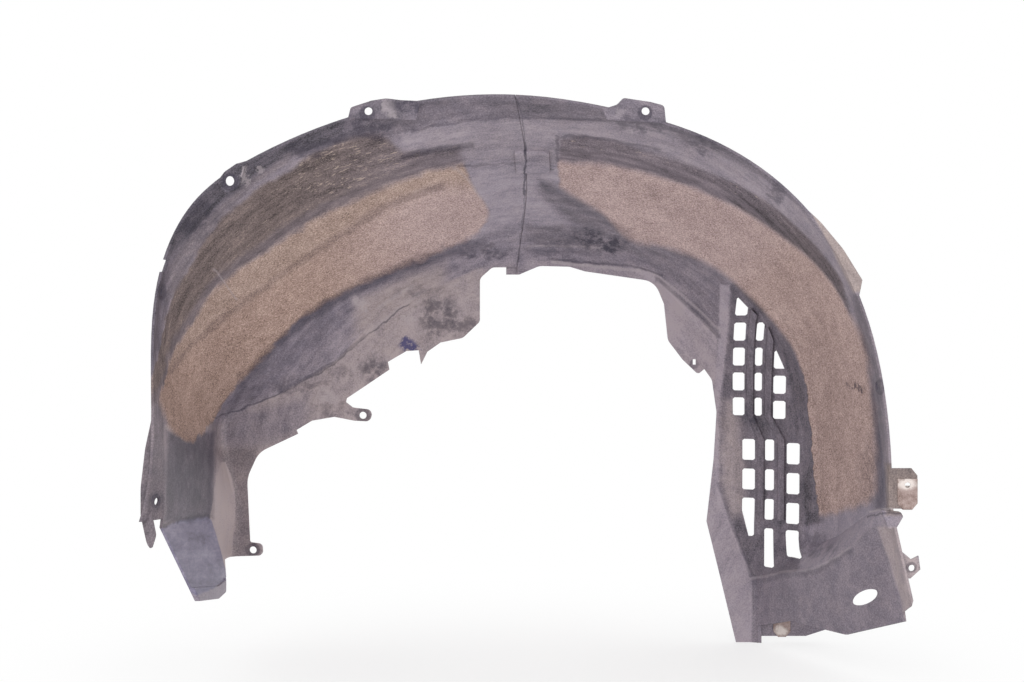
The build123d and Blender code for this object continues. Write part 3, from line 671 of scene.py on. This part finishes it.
class LinerShader(Shader):
    """One half's black plastic, greyed and browned by dust, with a brown felt field on the wheel side and painted
    shade and highlights.
    """

    def __init__(self, name, half):
        super().__init__(name)
        self.broad = self.noise(*BROAD_NOISE)
        self.middle = self.noise(*MIDDLE_NOISE)
        self.grain = self.noise(*GRAIN_NOISE)
        self.streaks = self.arc_noise(*STREAKS)
        self.smooth, self.ragged, self.lined = [Drawing(self, self.noise(*noise), sway)
                                                for noise, sway in (SMOOTH_WOBBLE, RAGGED_WOBBLE, LINED_WOBBLE)]
        self.blotched = Drawing(self, self.middle, BLOTCHED_SWAY)
        self.soft_normal = self.bevel()
        self.true_normal = self.nodes.new("ShaderNodeNewGeometry").outputs["Normal"]
        self.wheel_side = self.wheel_side_mask()
        self.felt = self.product(self.ragged.field(half["felt"]), self.wheel_side)
        self.band = self.product(self.ragged.field(half["band"]), self.wheel_side)
        self.strip = self.ragged.field(half["strip"])
        self.rear = self.smooth.beside(LEFT, REAR_END, FELT_REAR_SOFT)
        self.pink = self.most(self.smooth.spot(*PINK_PLACE), self.product(self.inverse(self.rear), FRONT_PINK))

        colour = self.stained(self.plastic_colour(half["patches"]))
        colour = self.mix(self.band, colour, self.band_colour())
        colour = self.mix(self.felt, colour, self.felt_colour())
        # Pale wear and scratches, and painted highlights along ridges and folds
        colour = self.mix(self.wear_and_highlight_mask(half), colour, LIGHT_DUST_AND_HIGHLIGHT)
        # Dark dirt, rings and stains, and painted shade along folds, creases and ridges
        colour = self.mix(self.grime_and_shade_mask(half), colour, GRIME_AND_SHADE)
        self.set_surface(Base_Color=colour, Roughness=self.roughness(), Normal=self.relief(),
                         Specular_IOR_Level=self.blend(self.felt, PLASTIC_GLOSS, FELT_GLOSS))

    def wheel_side_mask(self):
        """1 on faces that look to the wheel, 0 on the back."""
        x, y, z = self.axes(self.place)
        to_axis = self.vector(self.difference(ARCH_CENTRE[0], x), -OUTWARD_SHARE, self.difference(ARCH_CENTRE[1], z))
        return self.step(self.vectors("DOT_PRODUCT", self.true_normal, to_axis), *WHEEL_SIDE_FADE)

    def ground(self):
        """How light and how dusty the bare plastic is before its patches."""
        rear = self.smooth.beside(LEFT, REAR_END, GROUND_SOFT)
        slope = self.product(self.smooth.beside(BELOW, REAR_FELT_RIDGE, SLOPE_SOFT), rear)
        wall = self.product(self.smooth.beside(BELOW, CRACK, WALL_SOFT), rear)
        tone = self.blend(self.smooth.beside(ABOVE, CREASE, CREASE_SOFT), TREAD_TONE, FLANGE_TONE)
        tone = self.blend(slope, tone, SLOPE_TONE)
        return self.blend(wall, tone, WALL_TONE), self.blend(wall, TREAD_DUST, WALL_DUST)

    def plastic_colour(self, patches):
        """The ground with its patches, mottle, rubbed lighter edges and dust."""
        tone, dust = self.ground()
        for way, rows, soft, patch_tone, patch_dust in patches:
            inside = self.smooth.between(way, rows, soft)
            tone = self.blend(inside, tone, patch_tone)
            dust = self.blend(inside, dust, patch_dust)
        calm = self.most(*[self.smooth.between(ACROSS, rows, CALM_SOFT) for rows in (CALM_BOX, CALM_FOOT)])
        mottle = self.total(self.around(self.broad, PLASTIC_BROAD), self.around(self.middle, PLASTIC_MIDDLE),
                            self.product(self.around(self.streaks, PLASTIC_STREAKS), self.inverse(calm)),
                            self.around(self.grain, PLASTIC_GRAIN))
        likeness = self.vectors("DOT_PRODUCT", self.soft_normal, self.true_normal)
        worn_edge = self.inverse(self.step(likeness, *EDGE_FADE))
        tone = self.total(self.blend(self.wheel_side, BACK_TONE, tone), mottle, self.product(worn_edge, EDGE_WEAR))
        dust = self.total(self.product(dust, self.wheel_side), self.around(self.middle, DUST_SWAY, DUST_SHARE))
        return self.mix(dust, self.ramp(tone, CLEAN_TONES), self.ramp(tone, DUSTY_TONES))

    def stained(self, colour):
        """A colour with the bluish foot panel and the blue stain over it."""
        tone = self.around(self.noise(*FOOT_NOISE, self.smooth.point), FOOT_SWAY, FOOT_TONE)
        panel = self.product(self.smooth.between(ACROSS, FOOT_PANEL, FOOT_SOFT), self.wheel_side, STAIN_SHARE)
        colour = self.mix(panel, colour, self.ramp(tone, FOOT_TONES))
        stain = self.product(self.blotched.spot(*BLUE_PLACE), self.wheel_side, STAIN_SHARE)
        return self.mix(stain, colour, BLUE_STAIN)

    def felt_colour(self):
        """Brown felt, darker below, pinker to the front and more olive above the rear smear."""
        low = self.step(self.smooth.v, *[self.smooth.share(height) for height in FELT_DARKENING])
        tone = self.total(self.around(self.grain, FELT_GRAIN, FELT_TONE), self.around(self.broad, FELT_BROAD),
                          self.around(self.middle, FELT_MIDDLE),
                          self.product(low, self.blend(self.rear, FRONT_FELT_FALL, REAR_FELT_FALL)))
        colour = self.mix(self.pink, self.ramp(tone, BROWN_FELT_TONES), self.ramp(tone, PINK_FELT_TONES))
        olive = self.product(self.smooth.beside(ABOVE, REAR_SMEAR, OLIVE_SOFT), self.rear)
        return self.mix(olive, colour, self.ramp(tone, OLIVE_FELT_TONES))

    def band_colour(self):
        """The dirt band above the felt, with light fibres and a smoother, more purple strip."""
        front = self.smooth.beside(RIGHT, BAND_FALL_START, BAND_FALL_SOFT)
        grain = self.product(self.around(self.grain, BAND_GRAIN), self.blend(self.strip, 1.0, STRIP_GRAIN))
        tone = self.total(BAND_TONE, grain, self.around(self.streaks, BAND_STREAKS),
                          self.around(self.middle, BAND_MIDDLE), self.product(front, BAND_FALL))
        purple = self.most(self.pink, self.product(self.strip, STRIP_PURPLE))
        colour = self.mix(purple, self.ramp(tone, BROWN_BAND_TONES), self.ramp(tone, PURPLE_BAND_TONES))
        gathered = self.product(self.smooth.spot(*FIBRE_PLACE), FIBRE_GATHERING)
        fibres = self.step(self.total(self.arc_noise(*STRANDS), gathered), *FIBRE_RANGE)
        fibres = self.product(fibres, self.blend(self.strip, BAND_FIBRES, STRIP_FIBRES))
        return self.mix(fibres, colour, FLECK)

    def wear_and_highlight_mask(self, half):
        """Painted highlights along ridges and folds, scratches and rubbed places."""
        pale = self.most(self.smooth.strokes(half["light_lines"]), self.blotched.spots(half["wear"]))
        return self.product(pale, self.wheel_side)

    def grime_and_shade_mask(self, half):
        """Dark lines of dirt and of painted shade, rings and stains, broken up by blotches."""
        blotches = self.step(self.noise(*BLOTCH_NOISE), *BLOTCH_RANGE)
        lines = self.most(self.lined.strokes(half["dark_lines"]), self.smooth.spots(half["rings"], RING_FADE))
        grime_and_shade = self.most(self.product(lines, self.blend(blotches, LINE_IN_GAPS, 1.0)),
                          self.product(self.blotched.spots(half["stains"]), blotches))
        return self.product(grime_and_shade, self.wheel_side)

    def roughness(self):
        return self.total(PLASTIC_ROUGHNESS, self.product(self.felt, FELT_ROUGHENING),
                          self.product(self.band, BAND_ROUGHENING), self.around(self.middle, ROUGHNESS_SWAY))

    def relief(self):
        """The surface's direction with soft edges, the felt standing proud, and grain."""
        height = self.total(self.felt, self.product(self.grain, self.blend(self.felt, PLASTIC_RELIEF, FELT_RELIEF)),
                            self.product(self.middle, MIDDLE_RELIEF))
        return self.bump(height, FELT_THICKNESS, self.soft_normal)


def pierced_material():
    """The rear half's plastic with the shoulder tab's hole cut on through the flange."""
    shader = LinerShader("rear_plastic_pierced", REAR_HALF)
    shader.set_surface(Alpha=shader.inverse(Drawing(shader).spot(*SHOULDER_HOLE, HOLE_FADE)))
    return shader.material


def nut_material():
    """Rusty spring steel with painted highlights round the holes."""
    shader = Shader("rusty_steel")
    patches = shader.noise(*RUST_NOISE)
    grain = shader.noise(*STEEL_NOISE)
    tone = shader.total(shader.around(patches, RUST_BROAD, RUST_TONE), shader.around(grain, RUST_GRAIN))
    # Painted highlights round the holes, in a cream steel colour
    highlight = Drawing(shader, patches, RUST_SWAY).spots(NUT_HIGHLIGHTS)
    shader.set_surface(Base_Color=shader.mix(highlight, shader.ramp(tone, RUST_TONES), NUT_HIGHLIGHT_COLOUR), Metallic=RUST_METAL,
                       Roughness=shader.difference(RUST_ROUGHNESS, shader.product(highlight, HIGHLIGHT_SMOOTHING)),
                       Normal=shader.bump(shader.total(patches, grain), RUST_RELIEF, shader.bevel()))
    return shader.material


def camera_share(shader):
    """1 for rays that see the studio straight, in a mirror or through glass."""
    path = shader.nodes.new("ShaderNodeLightPath")
    return shader.most(*[path.outputs[name] for name in ("Is Camera Ray", "Is Glossy Ray", "Is Transmission Ray")])


def floor_material():
    """Pale and matt, keeping the object's shadow near it and white further off."""
    shader = Shader("studio_floor")
    shader.set_surface(Base_Color=shader.ramp(shader.noise(*FLOOR_NOISE), FLOOR_TONES), Roughness=FLOOR_ROUGHNESS)
    middle = (CAD_BOX[0] + CAD_BOX[1]) / 2
    away = shader.vectors("DISTANCE", shader.place, (middle.x, middle.y, 0.0))
    white = shader.blend(shader.step(away, *FLOOR_FADE), FLOOR_WHITE, 1.0)
    glow = shader.nodes.new("ShaderNodeEmission")
    joined = shader.nodes.new("ShaderNodeMixShader")
    shader.put(joined.inputs[0], shader.product(white, camera_share(shader)))
    shader.put(joined.inputs[1], shader.surface.outputs[0])
    shader.put(joined.inputs[2], glow.outputs[0])
    shader.put(shader.nodes["Material Output"].inputs["Surface"], joined.outputs[0])
    return shader.material


def photo_place(point):
    """Where a point of the part lies in the photograph, in pixels."""
    scale = PIXEL * (point.y - CAMERA.y) / -CAMERA.y
    return PHOTO_WIDTH / 2 + (point.x - CAMERA.x) / scale, PHOTO_HEIGHT / 2 - (point.z - CAMERA.z) / scale


def pierce(node, material):
    """Puts a second material on the few faces that the shoulder hole meets."""
    node.data.materials.append(material)
    u, v, width, height = SHOULDER_HOLE
    for face in node.data.polygons:
        places = [photo_place(node.matrix_world @ node.data.vertices[corner].co) for corner in face.vertices]
        columns, rows = zip(*places)
        in_columns = min(columns) < u + HOLE_REACH * width and max(columns) > u - HOLE_REACH * width
        in_rows = min(rows) < v + HOLE_REACH * height and max(rows) > v - HOLE_REACH * height
        if in_columns and in_rows:
            face.material_index = 1


def dress():
    """Gives each node its material."""
    nut = nut_material()
    materials = {"rear_liner": LinerShader("rear_plastic", REAR_HALF).material,
                 "front_liner": LinerShader("front_plastic", FRONT_HALF).material,
                 "spring_nut_side": nut, "spring_nut_lower": nut}
    for name, material in materials.items():
        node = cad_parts[name]
        node.data.materials.clear()
        node.data.materials.append(material)
    pierce(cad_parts["rear_liner"], pierced_material())


def add_world():
    """Plain white light all round."""
    world = bpy.data.worlds.new("studio_world")
    world.use_nodes = True
    world.node_tree.nodes["Background"].inputs["Color"].default_value = WHITE
    world.node_tree.nodes["Background"].inputs["Strength"].default_value = ROOM_LIGHT
    bpy.context.scene.world = world


def add_floor():
    bpy.ops.mesh.primitive_plane_add(size=FLOOR_SIZE, location=(0.0, 0.0, CAD_BOX[0].z))
    floor = bpy.context.object
    floor.name = "studio_floor"
    floor.data.materials.append(floor_material())


def add_lamps():
    for name, place, size, power in LAMPS:
        light = bpy.data.lights.new(name, "AREA")
        light.size = size
        light.energy = power
        lamp = bpy.data.objects.new(name, light)
        lamp.location = place
        lamp.rotation_euler = (LAMP_AIM - lamp.location).to_track_quat("-Z", "Y").to_euler()
        bpy.context.scene.collection.objects.link(lamp)


def add_camera():
    """The photograph's view, straight along +Y."""
    camera = bpy.data.cameras.new("photo_camera")
    camera.sensor_width = SENSOR
    camera.lens = SENSOR * -CAMERA.y / (PHOTO_WIDTH * PIXEL)
    eye = bpy.data.objects.new("photo_camera", camera)
    eye.location = CAMERA
    eye.rotation_euler = (math.pi / 2, 0.0, 0.0)
    bpy.context.scene.collection.objects.link(eye)
    bpy.context.scene.camera = eye
    bpy.context.scene.view_settings.view_transform = "Standard"


dress()
add_world()
add_floor()
add_lamps()
add_camera()
